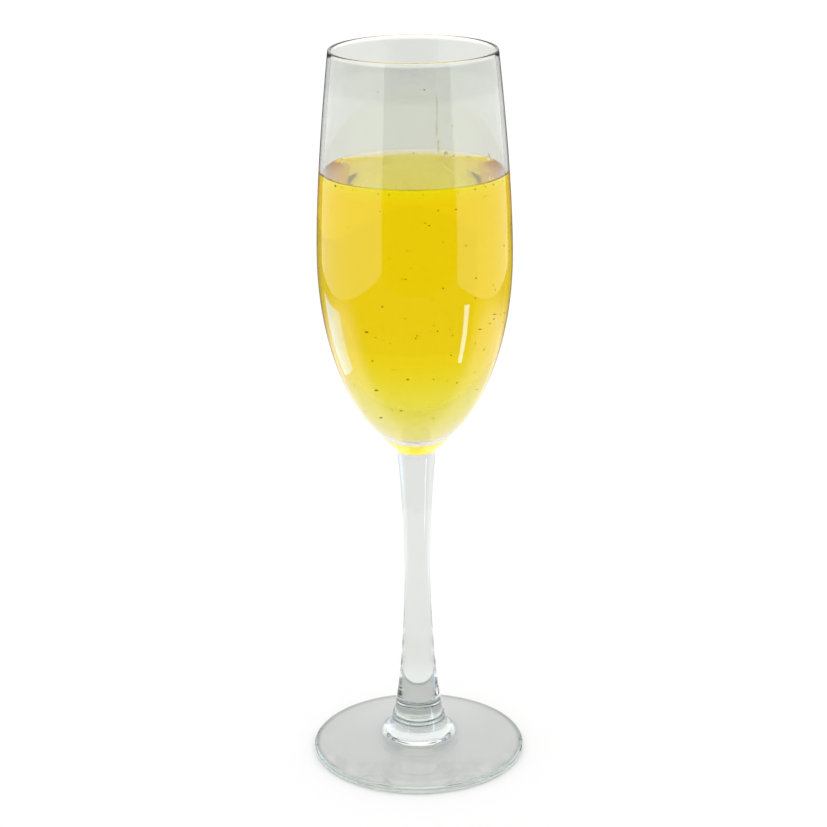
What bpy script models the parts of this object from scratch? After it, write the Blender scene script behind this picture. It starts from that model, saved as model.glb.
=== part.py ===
"""A champagne flute with wine in it: a blown bowl, a drawn stem and a pressed foot.

Everything is turned about the vertical axis. The origin is the centre of the circle on which
the foot stands, and the glass rises along +Z. Lengths are metres.
"""
import math

import bpy
from mathutils import Vector

# Whole glass
HEIGHT = 0.2250
GAP = 0.0003            # clearance where two pieces of the assembly meet
SEGMENTS = 48           # steps round the axis

# Bowl, outside
RIM_RADIUS = 0.0250
BELLY_RADIUS = 0.02936
BELLY_HEIGHT = 0.1625
RIM_TAPER = 0.108       # how far the wall leans in at the rim, per unit of height
BASE_RADIUS = 0.0076    # where the bowl's round base turns into the neck
BASE_HEIGHT = 0.1030
BASE_FLARE = 1.116      # how far the base opens, per unit of height, just above the neck

# Bowl, wall thickness and the floor of its inside
LIP_THICKNESS = 0.0009
BELLY_THICKNESS = 0.0015
BASE_THICKNESS = 0.0055
ROUND_HEIGHT = 0.1115   # below this the inside rounds off to its floor
FLOOR_HEIGHT = 0.1075
FLOOR_FLAT = 0.0050     # how far the nearly flat middle of the floor reaches

# Stem
NECK_RADIUS = 0.0058
NECK_HEIGHT = 0.1000    # the bowl is fused to the stem here
NECK_TAPER = 0.075
WAIST_RADIUS = 0.00405
WAIST_HEIGHT = 0.0600
ANKLE_RADIUS = 0.0076
ANKLE_HEIGHT = 0.0140
ANKLE_TAPER = 0.20

# Foot
COLLAR_RADIUS = 0.0082
COLLAR_HEIGHT = 0.0120  # the stem is fused to the foot here
DISC_RADIUS = 0.0334
DISC_EDGE = 0.0022      # thickness of the rounded edge
DISC_RISE = 0.0058      # height of the disc where the stem's fillet starts
FILLET_REACH = 0.0130
REST_INNER = 0.0275     # the flat ring that the glass stands on, from here to the rounded edge
HOLLOW_DEPTH = 0.0016   # rise of the underside at the centre

# Wine
FILL_HEIGHT = 0.1880

# Material: colour, roughness, transmission, refractive index
CLEAR_GLASS = ((0.93, 0.95, 0.93), 0.02, 1.0, 1.52)
STEM_GLASS = ((0.90, 0.93, 0.91), 0.02, 1.0, 1.52)
FOOT_GLASS = ((0.86, 0.90, 0.87), 0.03, 1.0, 1.52)
WHITE_WINE = ((0.90, 0.70, 0.05), 0.02, 0.8, 1.34)


def curve(start, start_handle, end_handle, end, steps):
    """Points along a cubic curve, both ends included."""
    corners = [Vector(corner) for corner in (start, start_handle, end_handle, end)]
    points = []
    for step in range(steps + 1):
        t = step / steps
        weights = ((1 - t) ** 3, 3 * (1 - t) ** 2 * t, 3 * (1 - t) * t * t, t ** 3)
        points.append(sum((w * c for w, c in zip(weights, corners)), Vector((0, 0))))
    return points


def arc(centre, radius, start_degrees, end_degrees, steps):
    """Points along a round arc, both ends included."""
    points = []
    for step in range(steps + 1):
        angle = math.radians(start_degrees + (end_degrees - start_degrees) * step / steps)
        points.append(Vector(centre) + radius * Vector((math.cos(angle), math.sin(angle))))
    return points


def joined(*runs):
    """One outline from runs of points that meet end to start."""
    outline = list(runs[0])
    for run in runs[1:]:
        outline += run[1:]
    return outline


def bowl_side():
    """The bowl's outside from under the lip to its base."""
    lip = (RIM_RADIUS, HEIGHT - LIP_THICKNESS / 2)
    reach = 0.030
    upper = curve(
        lip,
        (lip[0] + RIM_TAPER * reach, lip[1] - reach),
        (BELLY_RADIUS, BELLY_HEIGHT + 0.013),
        (BELLY_RADIUS, BELLY_HEIGHT),
        8,
    )
    rise = 0.0174
    lower = curve(
        (BELLY_RADIUS, BELLY_HEIGHT),
        (BELLY_RADIUS, BELLY_HEIGHT - 0.0126),
        (BASE_RADIUS + BASE_FLARE * rise, BASE_HEIGHT + rise),
        (BASE_RADIUS, BASE_HEIGHT),
        11,
    )
    return joined(upper, lower)


def bowl_inside(clearance=0.0):
    """The bowl's inside from the lip down to the centre of its floor, moved in by a clearance."""
    side = bowl_side()
    inside = []
    for index, point in enumerate(side):
        before = side[max(index - 1, 0)]
        after = side[min(index + 1, len(side) - 1)]
        along = (after - before).normalized()
        inward = Vector((along.y, -along.x))
        if point.y > BELLY_HEIGHT:
            share = (HEIGHT - point.y) / (HEIGHT - BELLY_HEIGHT)
            thickness = LIP_THICKNESS + share * (BELLY_THICKNESS - LIP_THICKNESS)
        else:
            share = (BELLY_HEIGHT - point.y) / (BELLY_HEIGHT - BASE_HEIGHT)
            thickness = BELLY_THICKNESS + share ** 2 * (BASE_THICKNESS - BELLY_THICKNESS)
        inside.append(point + (thickness + clearance) * inward)
    inside = [point for point in inside if point.y > ROUND_HEIGHT]
    edge = inside[-1]
    along = (edge - inside[-2]).normalized()
    floor = FLOOR_HEIGHT + clearance
    inside += curve(edge, edge + 0.0028 * along, (FLOOR_FLAT, floor), (0, floor), 6)[1:]
    return inside


def bowl_outline():
    inside = bowl_inside()
    lip = arc(
        (RIM_RADIUS - LIP_THICKNESS / 2, HEIGHT - LIP_THICKNESS / 2), LIP_THICKNESS / 2, 180, 0, 6
    )
    neck_top = NECK_HEIGHT + GAP / 2
    neck = curve(
        (BASE_RADIUS, BASE_HEIGHT),
        (BASE_RADIUS - BASE_FLARE * 0.0009, BASE_HEIGHT - 0.0009),
        (NECK_RADIUS + NECK_TAPER * 0.0016, neck_top + 0.0016),
        (NECK_RADIUS, neck_top),
        4,
    )
    return [*inside[:0:-1], *joined(lip, bowl_side(), neck), Vector((0, neck_top))]


def stem_outline():
    top = NECK_HEIGHT - GAP / 2
    bottom = COLLAR_HEIGHT + GAP / 2
    upper = curve(
        (NECK_RADIUS, top),
        (NECK_RADIUS - NECK_TAPER * 0.014, top - 0.014),
        (WAIST_RADIUS, WAIST_HEIGHT + 0.014),
        (WAIST_RADIUS, WAIST_HEIGHT),
        8,
    )
    lower = curve(
        (WAIST_RADIUS, WAIST_HEIGHT),
        (WAIST_RADIUS, WAIST_HEIGHT - 0.011),
        (ANKLE_RADIUS - ANKLE_TAPER * 0.011, ANKLE_HEIGHT + 0.011),
        (ANKLE_RADIUS, ANKLE_HEIGHT),
        9,
    )
    flare = curve(
        (ANKLE_RADIUS, ANKLE_HEIGHT),
        (ANKLE_RADIUS + ANKLE_TAPER * 0.0006, ANKLE_HEIGHT - 0.0006),
        (COLLAR_RADIUS - 0.0002, bottom + 0.0006),
        (COLLAR_RADIUS, bottom),
        3,
    )
    return [Vector((0, top)), *joined(upper, lower, flare), Vector((0, bottom))]


def foot_outline():
    top = COLLAR_HEIGHT - GAP / 2
    edge = DISC_EDGE / 2
    fillet = curve(
        (COLLAR_RADIUS, top),
        (COLLAR_RADIUS + 0.0009, top - 0.0040),
        (FILLET_REACH - 0.0022, DISC_RISE + 0.0004),
        (FILLET_REACH, DISC_RISE),
        6,
    )
    disc = curve(
        (FILLET_REACH, DISC_RISE),
        (FILLET_REACH + 0.0060, DISC_RISE - 0.0008),
        (DISC_RADIUS - edge - 0.0060, DISC_EDGE + 0.0007),
        (DISC_RADIUS - edge, DISC_EDGE),
        7,
    )
    rounding = arc((DISC_RADIUS - edge, edge), edge, 90, -90, 6)
    hollow = curve(
        (REST_INNER, 0),
        (REST_INNER - 0.0060, 0.0004),
        (0.0100, HOLLOW_DEPTH),
        (0, HOLLOW_DEPTH),
        7,
    )
    return [Vector((0, top)), *joined(fillet, disc, rounding), *hollow]


def wine_outline():
    """Level top, then down the bowl's inside."""
    wall = bowl_inside(GAP)
    below = [point for point in wall if point.y < FILL_HEIGHT]
    above = wall[len(wall) - len(below) - 1]
    share = (FILL_HEIGHT - below[0].y) / (above.y - below[0].y)
    brim = below[0].lerp(above, share)
    return [Vector((0, FILL_HEIGHT)), brim, *below]


def material(name, look):
    colour, roughness, transmission, index = look
    finish = bpy.data.materials.new(name)
    finish.use_nodes = True
    shader = finish.node_tree.nodes["Principled BSDF"]
    shader.inputs["Base Color"].default_value = (*colour, 1.0)
    shader.inputs["Roughness"].default_value = roughness
    shader.inputs["Metallic"].default_value = 0.0
    shader.inputs["Transmission Weight"].default_value = transmission
    shader.inputs["IOR"].default_value = index
    return finish


def turned(name, outline, look, parent):
    """A solid turned about the Z axis from its half outline, which starts and ends on the axis."""
    mesh = bpy.data.meshes.new(name)
    points = [(point.x, 0, point.y) for point in outline]
    edges = [(index, index + 1) for index in range(len(points) - 1)]
    mesh.from_pydata(points, edges, [])
    mesh.materials.append(material(name + "_finish", look))
    piece = bpy.data.objects.new(name, mesh)
    piece.parent = parent
    bpy.context.collection.objects.link(piece)
    screw = piece.modifiers.new("Turn", "SCREW")
    screw.axis = "Z"
    screw.angle = math.tau
    screw.steps = SEGMENTS
    screw.render_steps = SEGMENTS
    screw.use_merge_vertices = True
    screw.merge_threshold = 0.00001
    screw.use_smooth_shade = True
    return piece


def main():
    for thing in list(bpy.data.objects):
        bpy.data.objects.remove(thing)
    flute = bpy.data.objects.new("flute", None)
    bpy.context.collection.objects.link(flute)
    turned("bowl", bowl_outline(), CLEAR_GLASS, flute)
    turned("stem", stem_outline(), STEM_GLASS, flute)
    turned("foot", foot_outline(), FOOT_GLASS, flute)
    turned("champagne", wine_outline(), WHITE_WINE, flute)


main()
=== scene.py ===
import math
import random

import bmesh
import bpy
from mathutils import Matrix, Vector


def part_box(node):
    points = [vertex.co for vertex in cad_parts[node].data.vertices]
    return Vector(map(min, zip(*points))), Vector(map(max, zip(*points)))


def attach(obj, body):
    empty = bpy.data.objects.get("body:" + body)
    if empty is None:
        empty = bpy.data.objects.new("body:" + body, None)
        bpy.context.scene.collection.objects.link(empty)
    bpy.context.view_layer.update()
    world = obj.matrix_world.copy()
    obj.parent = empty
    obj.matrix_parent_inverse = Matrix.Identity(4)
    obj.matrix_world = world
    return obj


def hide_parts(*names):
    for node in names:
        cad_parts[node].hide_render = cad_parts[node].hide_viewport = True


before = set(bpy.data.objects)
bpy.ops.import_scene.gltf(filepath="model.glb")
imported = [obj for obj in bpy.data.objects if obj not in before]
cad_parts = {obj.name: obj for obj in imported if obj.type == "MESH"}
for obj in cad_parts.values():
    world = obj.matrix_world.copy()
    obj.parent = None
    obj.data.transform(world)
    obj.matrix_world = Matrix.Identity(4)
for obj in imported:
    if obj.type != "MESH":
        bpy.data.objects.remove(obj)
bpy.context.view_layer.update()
random.seed(31)

# levels and widths that the frame already fixes
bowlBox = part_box("bowl")
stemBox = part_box("stem")
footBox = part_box("foot")
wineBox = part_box("champagne")
rimLevel = bowlBox[1].z
fillLevel = wineBox[1].z
neckLevel = (bowlBox[0].z + stemBox[1].z) / 2
collarLevel = (stemBox[0].z + footBox[1].z) / 2

turnSteps = 240
wallSteps = 60              # steps down the bowl's wall, above the belly and again below it
creaseAngle = 50            # degrees; a sharper corner than this isn't smoothed over
fusedOverlap = 0.00002      # fused pieces share this much glass, so no air shows between them
doublesReach = 1e-7


def bend(start, startPull, endPull, end, steps):
    # a cubic curve, both ends kept
    points = []
    for step in range(steps + 1):
        t = step / steps
        point = (1 - t) ** 3 * Vector(start) + 3 * (1 - t) ** 2 * t * Vector(startPull)
        point += 3 * (1 - t) * t * t * Vector(endPull) + t ** 3 * Vector(end)
        points.append(point)
    return points


def sweep(centre, radius, startAngle, endAngle, steps):
    # a round arc, both ends kept
    points = []
    for step in range(steps + 1):
        angle = math.radians(startAngle + (endAngle - startAngle) * step / steps)
        points.append(Vector(centre) + radius * Vector((math.cos(angle), math.sin(angle))))
    return points


def chain(*runs):
    # one outline from runs that meet end to start
    outline = list(runs[0])
    for run in runs[1:]:
        outline += run[1:]
    return outline


def around(angle, reach, level):
    # a place on a circle round the glass's axis
    return (reach * math.cos(angle), reach * math.sin(angle), level)


def fromFront(bearing):
    # the angle of a bearing in degrees, which is 0 at the front
    return math.radians(bearing - 90)


def anyAngle():
    return random.random() * math.tau


def link(name, data):
    thing = bpy.data.objects.new(name, data)
    bpy.context.collection.objects.link(thing)
    return thing


def meshFrom(name, bm, finishes):
    mesh = bpy.data.meshes.new(name)
    bm.to_mesh(mesh)
    bm.free()
    for finish in finishes:
        mesh.materials.append(finish)
    return mesh


def finished(name, bm, finishes):
    mesh = meshFrom(name, bm, finishes)
    mesh.shade_smooth()
    mesh.set_sharp_from_angle(angle=math.radians(creaseAngle))
    piece = link(name, mesh)
    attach(piece, "root")
    return piece


def spinAround(bm, geometry, steps):
    bmesh.ops.spin(
        bm, geom=geometry, cent=(0, 0, 0), axis=(0, 0, 1),
        angle=math.tau, steps=steps, use_merge=True,
    )


def seal(bm):
    bmesh.ops.remove_doubles(bm, verts=bm.verts, dist=doublesReach)
    bmesh.ops.recalc_face_normals(bm, faces=bm.faces)


def turned(name, outline, finishes):
    # spins an outline round the glass's axis and closes it
    bm = bmesh.new()
    corners = [bm.verts.new((point.x, 0, point.y)) for point in outline]
    sides = [bm.edges.new(pair) for pair in zip(corners, corners[1:])]
    spinAround(bm, corners + sides, turnSteps)
    seal(bm)
    return finished(name, bm, finishes)


class Wire:
    # a socket that turns sums written in Python into Math nodes
    def __init__(self, shading, socket):
        self.shading = shading
        self.socket = socket

    def sum(self, operation, first, second):
        return self.shading.node("ShaderNodeMath", {"operation": operation}, {0: first, 1: second})

    def __add__(self, other):
        return self.sum("ADD", self, other)

    def __radd__(self, other):
        return self.sum("ADD", other, self)

    def __sub__(self, other):
        return self.sum("SUBTRACT", self, other)

    def __rsub__(self, other):
        return self.sum("SUBTRACT", other, self)

    def __mul__(self, other):
        return self.sum("MULTIPLY", self, other)

    def __rmul__(self, other):
        return self.sum("MULTIPLY", other, self)


class Shading:
    # the node tree of one material or of the world
    def __init__(self, owner):
        owner.use_nodes = True
        self.tree = owner.node_tree
        self.tree.nodes.clear()

    def node(self, kind, settings, sockets, output=0):
        made = self.tree.nodes.new(kind)
        for key, value in settings.items():
            setattr(made, key, value)
        for key, value in sockets.items():
            if isinstance(value, Wire):
                self.tree.links.new(value.socket, made.inputs[key])
            else:
                made.inputs[key].default_value = value
        return Wire(self, made.outputs[output]) if len(made.outputs) else made

    def place(self):
        return self.node("ShaderNodeTexCoord", {}, {}, output=3)

    def height(self):
        return self.node("ShaderNodeSeparateXYZ", {}, {0: self.place()}, output=2)

    def radius(self):
        flat = self.node(
            "ShaderNodeVectorMath", {"operation": "MULTIPLY"}, {0: self.place(), 1: (1, 1, 0)}
        )
        return self.node("ShaderNodeVectorMath", {"operation": "LENGTH"}, {0: flat}, output=1)

    def noise(self, scale, detail):
        sockets = {"Vector": self.place(), "Scale": scale, "Detail": detail}
        return self.node("ShaderNodeTexNoise", {}, sockets)

    def span(self, value, low, high):
        # 0 at low and 1 at high, with soft ends
        return self.node(
            "ShaderNodeMapRange",
            {"interpolation_type": "SMOOTHSTEP"},
            {"Value": value, "From Min": low, "From Max": high},
        )

    def mix(self, factor, first, second):
        return self.node(
            "ShaderNodeMix", {"data_type": "RGBA"}, {0: factor, 6: first, 7: second}, output=2
        )

    def clear(self, tint, roughness, index, gleam=(1, 1, 1, 1)):
        # anything that light goes through; a darker gleam reflects less
        return self.node(
            "ShaderNodeBsdfPrincipled",
            {},
            {
                "Base Color": tint,
                "Roughness": roughness,
                "IOR": index,
                "Transmission Weight": 1.0,
                "Specular Tint": gleam,
            },
        )

    def matt(self, colour, roughness):
        return self.node(
            "ShaderNodeBsdfPrincipled", {}, {"Base Color": colour, "Roughness": roughness}
        )

    def surface(self, shader, **more):
        self.node("ShaderNodeOutputMaterial", {}, {"Surface": shader, **more})


def glassFinish(name, look):
    finish = bpy.data.materials.new(name)
    shading = Shading(finish)
    tint = look["tint"]
    for along, start, end, before, after in look["bands"]:
        measure = shading.radius() if along == "radius" else shading.height()
        tint = shading.mix(shading.span(measure, start, end), before or tint, after or tint)
    haze = shading.noise(90.0, 3.0) * look["haze"]
    shading.surface(shading.clear(tint, haze, look["index"], look["gleam"]))
    return finish


def fusedFinish():
    # the face where two pieces of glass are fused: light goes straight on
    finish = bpy.data.materials.new("fused joint")
    shading = Shading(finish)
    shading.surface(shading.clear((1, 1, 1, 1), 0.0, 1.0))
    return finish


def beadFinish(name, tint, index):
    # a bubble, drop or speck, clouded a little
    finish = bpy.data.materials.new(name)
    shading = Shading(finish)
    cloud = shading.noise(140.0, 2.0)
    tint = shading.mix(cloud * 0.15, tint, (1, 1, 1, 1))
    shading.surface(shading.clear(tint, cloud * 0.03, index))
    return finish


bowl = {
    "rimRadius": 0.0250,
    "rimTaper": 0.108,
    "rimReach": 0.030,
    "bellyRadius": bowlBox[1].x,
    "bellyLevel": 0.1625,
    "bellyPullUp": 0.013, "bellyPullDown": 0.0126,
    "baseRadius": 0.0076,
    "baseLevel": 0.1030,
    "baseFlare": 1.116,
    "basePullUp": 0.0174, "basePullDown": 0.0009,
    "lip": 0.0009,
    "bellyWall": 0.0015,
    "baseWall": 0.0055,
    "roundLevel": 0.1115,       # below this the inside rounds off to its floor
    "roundPull": 0.0028,
    "floorLevel": 0.1075,
    "floorFlat": 0.0050,
    "neckRadius": 0.0058,
    "neckTaper": 0.075,
    "neckPull": 0.0016,
    "glass": {
        "index": 1.52, "haze": 0.004, "gleam": (1, 1, 1, 1),
        # painted shade: this grey tint is the glass's faint green, deepened to stand for the grey shade
        # seen through the empty top of the bowl
        "tint": (0.815, 0.834, 0.80, 1),
        # measured along, from, to, tint before, tint after; None keeps what is there
        "bands": [
            ("height", 0.1860, 0.1900, (0.85, 0.70, 0.45, 1), None),
            ("height", 0.1180, 0.1400, (0.80, 0.745, 0.80, 1), None),
            # painted shade: above this height the glass turns darker, so the inside of the rim looks as
            # grey as the rest
            ("height", 0.2120, 0.2160, None, (0.745, 0.765, 0.73, 1)),
            ("height", rimLevel - 0.0016, rimLevel - 0.0009, None, (1, 1, 1, 1)),
        ],
    },
    "wetted": {
        # the gleam is dark, because light hardly reflects between glass and wine
        "index": 1.52, "haze": 0.004, "gleam": (0, 0, 0, 1),
        "tint": (1, 1, 1, 1), "bands": [],
    },
}


def bowlSide():
    # the outer wall from the lip to the base
    b = bowl
    lip = (b["rimRadius"], rimLevel - b["lip"] / 2)
    upper = bend(
        lip,
        (lip[0] + b["rimTaper"] * b["rimReach"], lip[1] - b["rimReach"]),
        (b["bellyRadius"], b["bellyLevel"] + b["bellyPullUp"]),
        (b["bellyRadius"], b["bellyLevel"]),
        wallSteps,
    )
    lower = bend(
        (b["bellyRadius"], b["bellyLevel"]),
        (b["bellyRadius"], b["bellyLevel"] - b["bellyPullDown"]),
        (b["baseRadius"] + b["baseFlare"] * b["basePullUp"], b["baseLevel"] + b["basePullUp"]),
        (b["baseRadius"], b["baseLevel"]),
        wallSteps,
    )
    return chain(upper, lower)


def bowlInside(clearance=0.0):
    # the inner wall from the lip to the centre of the floor
    b = bowl
    side = bowlSide()
    inside = []
    for index, point in enumerate(side):
        before = side[max(index - 1, 0)]
        after = side[min(index + 1, len(side) - 1)]
        along = (after - before).normalized()
        if point.y > b["bellyLevel"]:
            share = (rimLevel - point.y) / (rimLevel - b["bellyLevel"])
            wall = b["lip"] + share * (b["bellyWall"] - b["lip"])
        else:
            share = (b["bellyLevel"] - point.y) / (b["bellyLevel"] - b["baseLevel"])
            wall = b["bellyWall"] + share ** 2 * (b["baseWall"] - b["bellyWall"])
        inside.append(point + (wall + clearance) * Vector((along.y, -along.x)))
    inside = [point for point in inside if point.y > b["roundLevel"]]
    edge = inside[-1]
    along = (edge - inside[-2]).normalized()
    level = b["floorLevel"] + clearance
    floor = bend(edge, edge + b["roundPull"] * along, (b["floorFlat"], level), (0, level), 24)
    return chain(inside, floor)


def makeBowl(joint):
    b = bowl
    inside = bowlInside()
    lip = sweep((b["rimRadius"] - b["lip"] / 2, rimLevel - b["lip"] / 2), b["lip"] / 2, 180, 0, 14)
    level = neckLevel - fusedOverlap
    neck = bend(
        (b["baseRadius"], b["baseLevel"]),
        (b["baseRadius"] - b["baseFlare"] * b["basePullDown"], b["baseLevel"] - b["basePullDown"]),
        (b["neckRadius"] + b["neckTaper"] * b["neckPull"], level + b["neckPull"]),
        (b["neckRadius"], level),
        16,
    )
    outline = [*inside[:0:-1], *chain(lip, bowlSide(), neck), Vector((0, level))]
    finishes = [glassFinish("bowl glass", b["glass"]), joint, glassFinish("wetted glass", b["wetted"])]
    piece = turned("bowlGlass", outline, finishes)
    fuse(piece, level)
    wet(piece)
    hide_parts("bowl")


def fuse(piece, level):
    # the flat end faces at this level are joints, with the second finish
    for face in piece.data.polygons:
        if abs(face.center.z - level) < 1e-6 and abs(face.normal.z) > 0.9:
            face.material_index = 1


def wet(piece):
    # the inside below the wine's edge has the third finish
    for face in piece.data.polygons:
        centre = face.center
        inward = centre.x * face.normal.x + centre.y * face.normal.y < 0 or face.normal.z > 0.5
        if inward and centre.z < fillLevel + wine["climb"]:
            face.material_index = 2


stem = {
    "neckPull": 0.014,
    "waistRadius": 0.00405,
    "waistLevel": 0.0600,
    "waistPullUp": 0.014, "waistPullDown": 0.011,
    "ankleRadius": 0.0076,
    "ankleLevel": 0.0140,
    "ankleTaper": 0.20,
    "anklePullUp": 0.011, "anklePullDown": 0.0006,
    "collarRadius": stemBox[1].x,
    "collarLean": 0.0002, "collarPull": 0.0005,
    "groove": 0.00025,          # depth of the groove where the stem is fused to the foot
    "glass": {
        "index": 1.52, "haze": 0.004, "gleam": (1, 1, 1, 1),
        # painted shade: the stem is tinted grey, darker than the same glass in the foot, and the grey
        # fades out towards the ankle
        "tint": (0.78, 0.80, 0.77, 1),
        "bands": [("height", 0.016, 0.034, (0.95, 0.97, 0.945, 1), None)],
    },
}


def makeStem(joint):
    s = stem
    top = neckLevel + fusedOverlap
    bottom = collarLevel - fusedOverlap
    upper = bend(
        (bowl["neckRadius"], top),
        (bowl["neckRadius"] - bowl["neckTaper"] * s["neckPull"], top - s["neckPull"]),
        (s["waistRadius"], s["waistLevel"] + s["waistPullUp"]),
        (s["waistRadius"], s["waistLevel"]),
        40,
    )
    lower = bend(
        (s["waistRadius"], s["waistLevel"]),
        (s["waistRadius"], s["waistLevel"] - s["waistPullDown"]),
        (s["ankleRadius"] - s["ankleTaper"] * s["anklePullUp"], s["ankleLevel"] + s["anklePullUp"]),
        (s["ankleRadius"], s["ankleLevel"]),
        40,
    )
    flare = bend(
        (s["ankleRadius"], s["ankleLevel"]),
        (s["ankleRadius"] + s["ankleTaper"] * s["anklePullDown"], s["ankleLevel"] - s["anklePullDown"]),
        (s["collarRadius"] - s["collarLean"], bottom + s["groove"] + s["collarPull"]),
        (s["collarRadius"], bottom + s["groove"]),
        12,
    )
    groove = Vector((s["collarRadius"] - s["groove"], bottom))
    outline = [Vector((0, top)), *chain(upper, lower, flare), groove, Vector((0, bottom))]
    piece = turned("stemGlass", outline, [glassFinish("stem glass", s["glass"]), joint])
    fuse(piece, top)
    fuse(piece, bottom)
    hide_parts("stem")


foot = {
    "filletDrop": 0.0040, "filletLean": 0.0009,
    "filletReach": 0.0130,
    "filletPull": 0.0022, "filletLift": 0.0004,
    "discRadius": footBox[1].x,
    "discEdge": 0.0022,
    "discRise": 0.0058,
    "discPull": 0.0060, "discDip": 0.0008, "discLift": 0.0007,
    "restInner": 0.0275,
    "restPull": 0.0060, "restLift": 0.0004,
    "hollow": 0.0016,
    "hollowPull": 0.0040, "hollowDip": 0.0002,
    "punt": 0.0103,             # a round dimple pressed into the middle of the underside
    "puntRise": 0.0004,
    "puntDip": 0.0001,
    "puntStep": (0.0004, 0.0002), "puntPull": 0.0010,
    "glass": {
        "index": 1.52, "haze": 0.004, "gleam": (1, 1, 1, 1),
        "tint": (0.99, 1.0, 0.985, 1),
        "bands": [
            # painted shade: the glass inside this radius is darker, to dim the bright ring that light
            # makes in the fillet
            ("radius", 0.0115, 0.0140, (0.85, 0.89, 0.88, 1), None),
            # partly the glass's own green seen along its edge, partly painted shade that darkens the
            # rounded edge
            ("radius", 0.0312, 0.0328, None, (0.62, 0.68, 0.63, 1)),
        ],
    },
}


def makeFoot(joint):
    f = foot
    edge = f["discEdge"] / 2
    level = collarLevel + fusedOverlap
    collar = stem["collarRadius"]
    fillet = bend(
        (collar, level - stem["groove"]),
        (collar + f["filletLean"], level - f["filletDrop"]),
        (f["filletReach"] - f["filletPull"], f["discRise"] + f["filletLift"]),
        (f["filletReach"], f["discRise"]),
        32,
    )
    disc = bend(
        (f["filletReach"], f["discRise"]),
        (f["filletReach"] + f["discPull"], f["discRise"] - f["discDip"]),
        (f["discRadius"] - edge - f["discPull"], f["discEdge"] + f["discLift"]),
        (f["discRadius"] - edge, f["discEdge"]),
        40,
    )
    rounding = sweep((f["discRadius"] - edge, edge), edge, 90, -90, 24)
    puntEdge = (f["punt"], f["hollow"] - f["puntDip"])
    puntTop = f["hollow"] + f["puntRise"]
    hollow = bend(
        (f["restInner"], 0),
        (f["restInner"] - f["restPull"], f["restLift"]),
        (f["punt"] + f["hollowPull"], f["hollow"] - f["hollowDip"]),
        puntEdge,
        30,
    )
    punt = bend(
        puntEdge,
        (f["punt"] - f["puntStep"][0], f["hollow"] + f["puntStep"][1]),
        (f["punt"] - f["puntPull"], puntTop),
        (0, puntTop),
        24,
    )
    groove = Vector((collar - stem["groove"], level))
    outline = [Vector((0, level)), groove, *chain(fillet, disc, rounding), *chain(hollow, punt)]
    piece = turned("footGlass", outline, [glassFinish("foot glass", f["glass"]), joint])
    fuse(piece, level)
    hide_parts("foot")


wine = {
    "index": 1.34,
    "gleam": (0.1, 0.1, 0.1, 1),
    "climb": 0.0014,            # how far the wine creeps up the wall
    "creep": 0.0015,            # how fast the meniscus dies away from the wall
    "bite": 0.00005,            # the wine runs this far into the wall, so no air shows between
    "absorbColour": (0.998, 0.984, 0.0, 1),
    "absorbDensity": 75.0,
    "tint": (1, 0.93, 0.05, 1),     # at its skin, fading out towards its floor and its surface; the fade is painted light, as the wine itself is one colour
    "tintFloor": (0.118, 0.140), "tintSurface": (0.1845, 0.1870),
}


def wineFinish():
    finish = bpy.data.materials.new("golden wine")
    shading = Shading(finish)
    level = shading.height()
    # painted light: the tint fades out near the wine's floor and surface, where the wine looks paler
    deep = shading.span(level, *wine["tintFloor"]) * (1 - shading.span(level, *wine["tintSurface"]))
    tint = shading.mix(deep, (1, 1, 1, 1), wine["tint"])
    depth = shading.node(
        "ShaderNodeVolumeAbsorption",
        {},
        {"Color": wine["absorbColour"], "Density": wine["absorbDensity"]},
    )
    shading.surface(shading.clear(tint, 0.0, wine["index"], wine["gleam"]), Volume=depth)
    return finish


def makeWine():
    wall = bowlInside(-wine["bite"])
    contact = fillLevel + wine["climb"]
    below = [point for point in wall if point.y < contact]
    above = wall[len(wall) - len(below) - 1]
    brim = below[0].lerp(above, (contact - below[0].y) / (above.y - below[0].y))
    steps = 48
    surface = [Vector((0, fillLevel))]
    for step in range(1, steps + 1):
        reach = brim.x * (1 - (1 - step / steps) ** 2)
        rise = wine["climb"] * math.exp((reach - brim.x) / wine["creep"])
        surface.append(Vector((reach, fillLevel + rise)))
    piece = turned("wineBody", chain(surface, [brim, *below]), [wineFinish()])
    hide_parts("champagne")


def wallAt(wall, level):
    # radius of an outline, top point first, at a height
    for above, below in zip(wall, wall[1:]):
        if below.y <= level <= above.y:
            return above.lerp(below, (above.y - level) / max(above.y - below.y, 1e-9)).x
    return wall[-1].x


def addBead(bm, place, size, stretch=(1, 1, 1), turn=None, sides=10):
    # one round bead; stretch and turn shape it before it is put in place
    made = bmesh.ops.create_uvsphere(bm, u_segments=sides, v_segments=sides // 2 + 1, radius=size)
    bmesh.ops.scale(bm, vec=stretch, verts=made["verts"])
    if turn:
        bmesh.ops.rotate(bm, cent=(0, 0, 0), matrix=turn, verts=made["verts"])
    bmesh.ops.translate(bm, vec=place, verts=made["verts"])


def pick(smallest, largest, power=1):
    # a random size or level; a higher power makes the large ones rarer
    return smallest + (largest - smallest) * random.random() ** power


bubbles = {
    "count": 170,
    "smallest": 0.00011, "largest": 0.00031,
    "lowest": 0.1120, "highest": 0.1860,
    "clinging": 0.6,            # the share that sits on the wall
    "clearance": 0.0001,
    "edgeCount": 26,            # the ring of froth where the wine meets the glass
    "edgeSmallest": 0.00014, "edgeLargest": 0.00036,
    "edgeClearance": 0.0002, "edgeSpread": 0.0012,
    "speck": {"bearing": 7, "level": 0.2175, "size": 0.00024},      # a dark fleck dried on the wall
    "tint": (0.34, 0.30, 0.08, 1),
    "index": 1.34,
}


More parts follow.
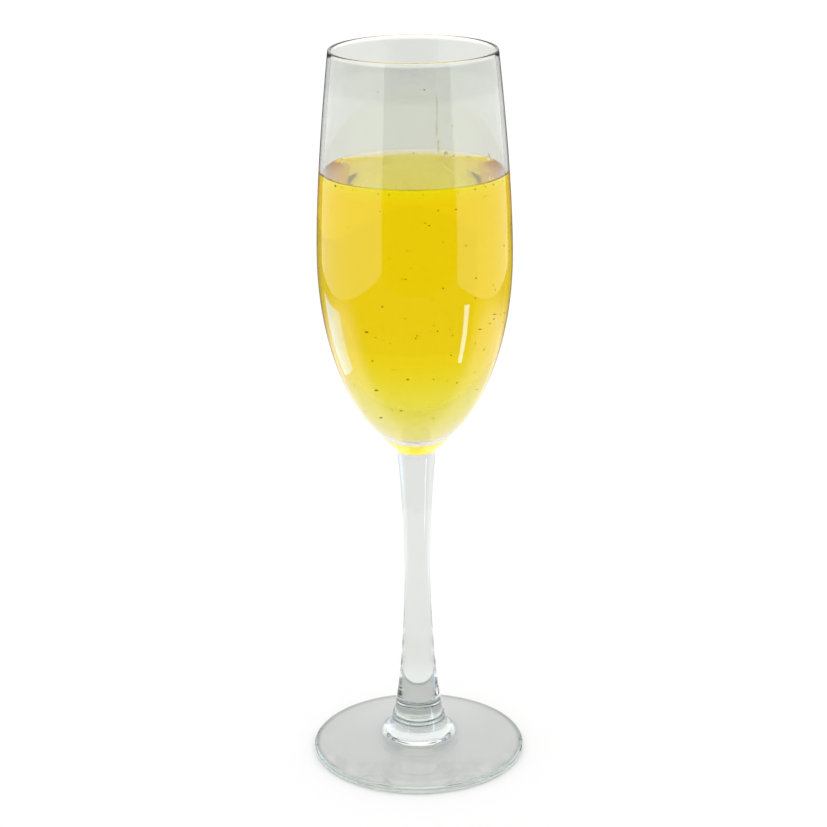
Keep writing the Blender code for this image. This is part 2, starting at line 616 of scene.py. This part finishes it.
def makeBubbles():
    b = bubbles
    wall = bowlInside()
    bm = bmesh.new()
    for bubble in range(b["count"]):
        size = pick(b["smallest"], b["largest"], 2)
        level = pick(b["lowest"], b["highest"])
        furthest = wallAt(wall, level) - size * 1.5 - b["clearance"]
        reach = furthest if random.random() < b["clinging"] else furthest * math.sqrt(random.random())
        addBead(bm, around(anyAngle(), reach, level), size)
    for bubble in range(b["edgeCount"]):
        size = pick(b["edgeSmallest"], b["edgeLargest"], 2)
        angle = anyAngle()
        level = fillLevel - size * 1.1
        furthest = wallAt(wall, level) - size * 1.3 - b["edgeClearance"]
        reach = furthest - b["edgeSpread"] * random.random() ** 3
        addBead(bm, around(angle, reach, level), size)
    speck = b["speck"]
    reach = wallAt(wall, speck["level"]) - speck["size"]
    addBead(bm, around(fromFront(speck["bearing"]), reach, speck["level"]), speck["size"])
    piece = finished("wineBubbles", bm, [beadFinish("wine bubble", b["tint"], b["index"])])


drops = {
    # bearing from the front, height, width, length over width
    "placed": [
        (15.0, 0.2125, 0.00026, 12), (14.4, 0.2065, 0.00032, 9), (15.2, 0.2015, 0.00036, 5),
        (20, 0.1990, 0.00060, 1.6), (25, 0.1981, 0.00050, 1.2), (53, 0.1962, 0.00060, 1.9),
        (51, 0.1925, 0.00045, 1.0), (-50, 0.1957, 0.00050, 1.3), (54, 0.1901, 0.00075, 1.3),
    ],
    "loose": 26,
    "lowest": 0.1915, "highest": 0.2180,
    "smallest": 0.00010, "largest": 0.00032,
    "longest": 1.8,
    "flatness": 0.5,
    "tint": (0.93, 0.90, 0.72, 1),
    "index": 1.33,
}


def makeDrops():
    d = drops
    wall = bowlInside()
    rows = list(d["placed"])
    for drop in range(d["loose"]):
        level = pick(d["lowest"], d["highest"], 2)
        width = pick(d["smallest"], d["largest"], 3)
        rows.append((random.uniform(-180, 180), level, width, random.uniform(1.0, d["longest"])))
    bm = bmesh.new()
    for bearing, level, width, length in rows:
        slope = math.atan2(wallAt(wall, level + 0.001) - wallAt(wall, level - 0.001), 0.002)
        angle = fromFront(bearing)
        turn = Matrix.Rotation(angle, 3, "Z") @ Matrix.Rotation(slope, 3, "Y")
        reach = wallAt(wall, level) - width * d["flatness"] * 0.75
        addBead(bm, around(angle, reach, level), width, (d["flatness"], 1, length), turn, 14)
    piece = finished("wineDrops", bm, [beadFinish("wine drop", d["tint"], d["index"])])


seam = {
    # radius, height and thickness of each fine dark line round the fused joint; the lines are painted
    # shade, laid where the joint's groove throws shade
    "lines": [(0.00805, collarLevel, 0.00016), (0.00842, collarLevel - 0.0013, 0.00010)],
    "lineSteps": 120,
    "seeds": 46,                # tiny bubbles caught in the glass under the joint
    "seedSize": 0.00013,
    "seedReach": 0.0079, "seedSpread": 0.0009,      # further out the deeper a seed lies
    "seedDepth": 0.0004, "seedDrop": 0.0026,
    # painted shade: the dark teal of the lines, which the seeds share
    "tint": (0.06, 0.16, 0.19, 1),
    "index": 1.1,
}


def makeSeam():
    s = seam
    bm = bmesh.new()
    # painted shade: dark rings laid round the fused joint
    for radius, level, size in s["lines"]:
        ring = bmesh.ops.create_circle(bm, segments=8, radius=size)["verts"]
        bmesh.ops.rotate(bm, cent=(0, 0, 0), matrix=Matrix.Rotation(math.pi / 2, 3, "X"), verts=ring)
        bmesh.ops.translate(bm, vec=(radius, 0, level), verts=ring)
        edges = list({edge for vert in ring for edge in vert.link_edges})
        spinAround(bm, ring + edges, s["lineSteps"])
    seal(bm)
    for seed in range(s["seeds"]):
        angle = anyAngle()
        drop = random.random()
        reach = s["seedReach"] + s["seedSpread"] * drop
        level = collarLevel - s["seedDepth"] - s["seedDrop"] * drop
        addBead(bm, around(angle, reach, level), s["seedSize"])
    piece = finished("seamLines", bm, [beadFinish("painted seam shade and seeds", s["tint"], s["index"])])


flecks = {
    "count": 30,                # dark olive flecks along the foot's edge, in two groups at its sides
    "size": 0.00036,
    "smallest": 0.4,            # share of the full size
    "groups": [(-97, 13), (88, 14)],        # bearing from the front, and spread
    "tilts": (10, 80),          # how far round the rounded edge, in degrees
    "flatness": 0.3, "lengths": (0.6, 1.4),
    "tint": (0.16, 0.15, 0.06, 1),
    "index": 1.33,
}


def makeFlecks():
    f = flecks
    bm = bmesh.new()
    rounding = foot["discEdge"] / 2
    for index in range(f["count"]):
        bearing, spread = f["groups"][index % 2]
        angle = math.radians(bearing - 90 + random.gauss(0, spread / 2))
        tilt = math.radians(random.uniform(*f["tilts"]))
        size = f["size"] * random.uniform(f["smallest"], 1.0)
        reach = foot["discRadius"] - rounding + rounding * math.cos(tilt)
        level = rounding * (1 + math.sin(tilt))
        turn = Matrix.Rotation(angle, 3, "Z") @ Matrix.Rotation(-tilt, 3, "Y")
        stretch = (f["flatness"], 1.0, random.uniform(*f["lengths"]))
        addBead(bm, around(angle, reach, level), size, stretch, turn)
    piece = finished("footFlecks", bm, [beadFinish("dark olive fleck", f["tint"], f["index"])])


room = {
    "floorSize": 30.0,
    "floorDrop": 0.0001,        # keeps the floor clear of the foot
    "floorColour": (0.70, 0.70, 0.70, 1),
    "floorRoughness": 0.7,
    "skyStrength": 1.30,
    "skyBelow": 0.11,           # what a reflection finds under the horizon, where it misses the floor
    "skyWall": 0.78,            # the pale walls of the room, up to the brighter ceiling
    "horizon": (-0.08, 0.0), "ceiling": (0.72, 0.95),
    "tableGlow": 1.4,           # the bright table behind the glass, as reflections find it
    "tableDown": (-0.30, -0.48), "tableBehind": (-0.30, 0.30),
    "tableLight": 1.25,
    "tableLightSpread": 60,
}
flag = {
    # the dark card in front, which the camera looks through
    "place": -0.45, "left": -0.345, "right": 0.50, "top": 0.45,
    "colour": (0.05, 0.05, 0.05, 1),
}
softboxes = [
    # side, nearest y, farthest y, height, radiance
    (-0.42, -0.547, 0.46, 0.80, 1.14),
    (0.42, -0.365, 0.46, 0.80, 1.14),
]
striplights = [
    # bearing from the front, distance, shift along, middle height, width, height, lean, colour
    (-120, 0.20, 0.008, 0.040, 0.112, 0.080, 12, (0.2, 1.2, 2.9)),
    (66, 0.20, -0.0125, 0.031, 0.023, 0.100, -8, (3.6, 5.2, 8.0)),
]
view = {
    "lens": 98.5, "sensor": 36.0, "distance": 0.656, "height": 0.338,
    "side": -0.0008, "pitch": 18.94, "roll": -0.5,
}


def makeFloor():
    bm = bmesh.new()
    bmesh.ops.create_grid(bm, x_segments=1, y_segments=1, size=room["floorSize"])
    finish = bpy.data.materials.new("pale floor")
    shading = Shading(finish)
    shading.surface(shading.matt(room["floorColour"], room["floorRoughness"]))
    floor = link("floor", meshFrom("floor", bm, [finish]))
    floor.location.z = -room["floorDrop"]
    floor.visible_glossy = False


def standUp(name, size, turn, place, finish):
    # a flat card that only the glass sees
    bm = bmesh.new()
    bmesh.ops.create_grid(bm, x_segments=1, y_segments=1, size=0.5)
    bmesh.ops.scale(bm, vec=(*size, 1), verts=bm.verts)
    bmesh.ops.rotate(bm, cent=(0, 0, 0), matrix=turn, verts=bm.verts)
    bmesh.ops.translate(bm, vec=place, verts=bm.verts)
    card = link(name, meshFrom(name, bm, [finish]))
    card.visible_camera = False
    card.visible_diffuse = False
    card.visible_shadow = False


def makeFlag():
    finish = bpy.data.materials.new("dark card")
    shading = Shading(finish)
    shading.surface(shading.matt(flag["colour"], 1.0))
    size = (flag["right"] - flag["left"], flag["top"])
    place = ((flag["right"] + flag["left"]) / 2, flag["place"], flag["top"] / 2)
    standUp("flag", size, Matrix.Rotation(math.pi / 2, 3, "X"), place, finish)


def makeSky():
    sky = bpy.data.worlds.new("studio")
    bpy.context.scene.world = sky
    shading = Shading(sky)
    direction = shading.node("ShaderNodeTexCoord", {}, {}, output=0)
    upward = shading.node("ShaderNodeSeparateXYZ", {}, {0: direction}, output=2)
    backward = shading.node("ShaderNodeSeparateXYZ", {}, {0: direction}, output=1)
    below = room["skyBelow"]
    wall = room["skyWall"]
    bright = shading.span(upward, *room["horizon"]) * (wall - below) + below
    bright = bright + shading.span(upward, *room["ceiling"]) * (1 - wall)
    behind = shading.span(backward, *room["tableBehind"])
    bright = bright + shading.span(upward, *room["tableDown"]) * behind * room["tableGlow"]
    colour = shading.mix(bright, (0, 0, 0, 1), (1, 1, 1, 1))
    glow = shading.node(
        "ShaderNodeBackground", {}, {"Color": colour, "Strength": room["skyStrength"]}
    )
    shading.node("ShaderNodeOutputWorld", {}, {"Surface": glow})


def makeSoftboxes():
    for index, (side, near, far, height, radiance) in enumerate(softboxes):
        finish = bpy.data.materials.new("softbox%d" % index)
        shading = Shading(finish)
        shading.surface(shading.node("ShaderNodeEmission", {}, {"Strength": radiance}))
        turn = Matrix.Rotation(math.pi / 2, 3, "Y")
        place = (side, (near + far) / 2, height / 2)
        standUp(finish.name, (height, far - near), turn, place, finish)


def makeTableLight():
    # evens out the table, unseen in the glass
    sun = bpy.data.lights.new("tableLight", "SUN")
    sun.energy = room["tableLight"]
    sun.angle = math.radians(room["tableLightSpread"])
    sun.use_shadow = False
    holder = link("tableLight", sun)
    holder.location.z = 3
    holder.visible_camera = False
    holder.visible_glossy = False
    holder.visible_transmission = False


def makeStriplights():
    # each leaves one streak on the bowl
    for index, (bearing, distance, along, level, width, height, lean, colour) in enumerate(striplights):
        lamp = bpy.data.lights.new("striplight%d" % index, "AREA")
        lamp.shape = "RECTANGLE"
        lamp.size = width
        lamp.size_y = height
        lamp.color = [part / max(colour) for part in colour]
        lamp.energy = max(colour) * math.pi * width * height
        holder = link(lamp.name, lamp)
        holder.matrix_world = (
            Matrix.Rotation(math.radians(bearing), 4, "Z")
            @ Matrix.Translation((along, -distance, level))
            @ Matrix.Rotation(math.radians(lean), 4, "Y")
            @ Matrix.Rotation(math.radians(-90), 4, "X")
            @ Matrix.Rotation(math.pi, 4, "X")
        )
        holder.visible_camera = False
        holder.visible_diffuse = False
        holder.visible_transmission = False


def placeCamera():
    camera = bpy.data.cameras.new("camera")
    camera.lens = view["lens"]
    camera.sensor_width = view["sensor"]
    camera.clip_start = 0.01
    camera.clip_end = 50
    holder = link("camera", camera)
    holder.matrix_world = (
        Matrix.Translation((view["side"], -view["distance"], view["height"]))
        @ Matrix.Rotation(math.radians(90 - view["pitch"]), 4, "X")
        @ Matrix.Rotation(math.radians(view["roll"]), 4, "Z")
    )
    scene = bpy.context.scene
    scene.camera = holder
    scene.view_settings.view_transform = "Standard"
    # light crosses many faces of glass and wine
    scene.cycles.max_bounces = 120
    scene.cycles.transmission_bounces = 120
    scene.cycles.glossy_bounces = 64
    scene.cycles.transparent_max_bounces = 24


placeCamera()
makeFloor()
makeFlag()
makeSky()
makeSoftboxes()
makeTableLight()
makeStriplights()
print("room, light and camera ready")
joint = fusedFinish()
makeBowl(joint)
makeStem(joint)
makeFoot(joint)
print("glass made")
makeWine()
makeBubbles()
makeDrops()
makeSeam()
makeFlecks()
print("wine, bubbles, drops and flecks made")
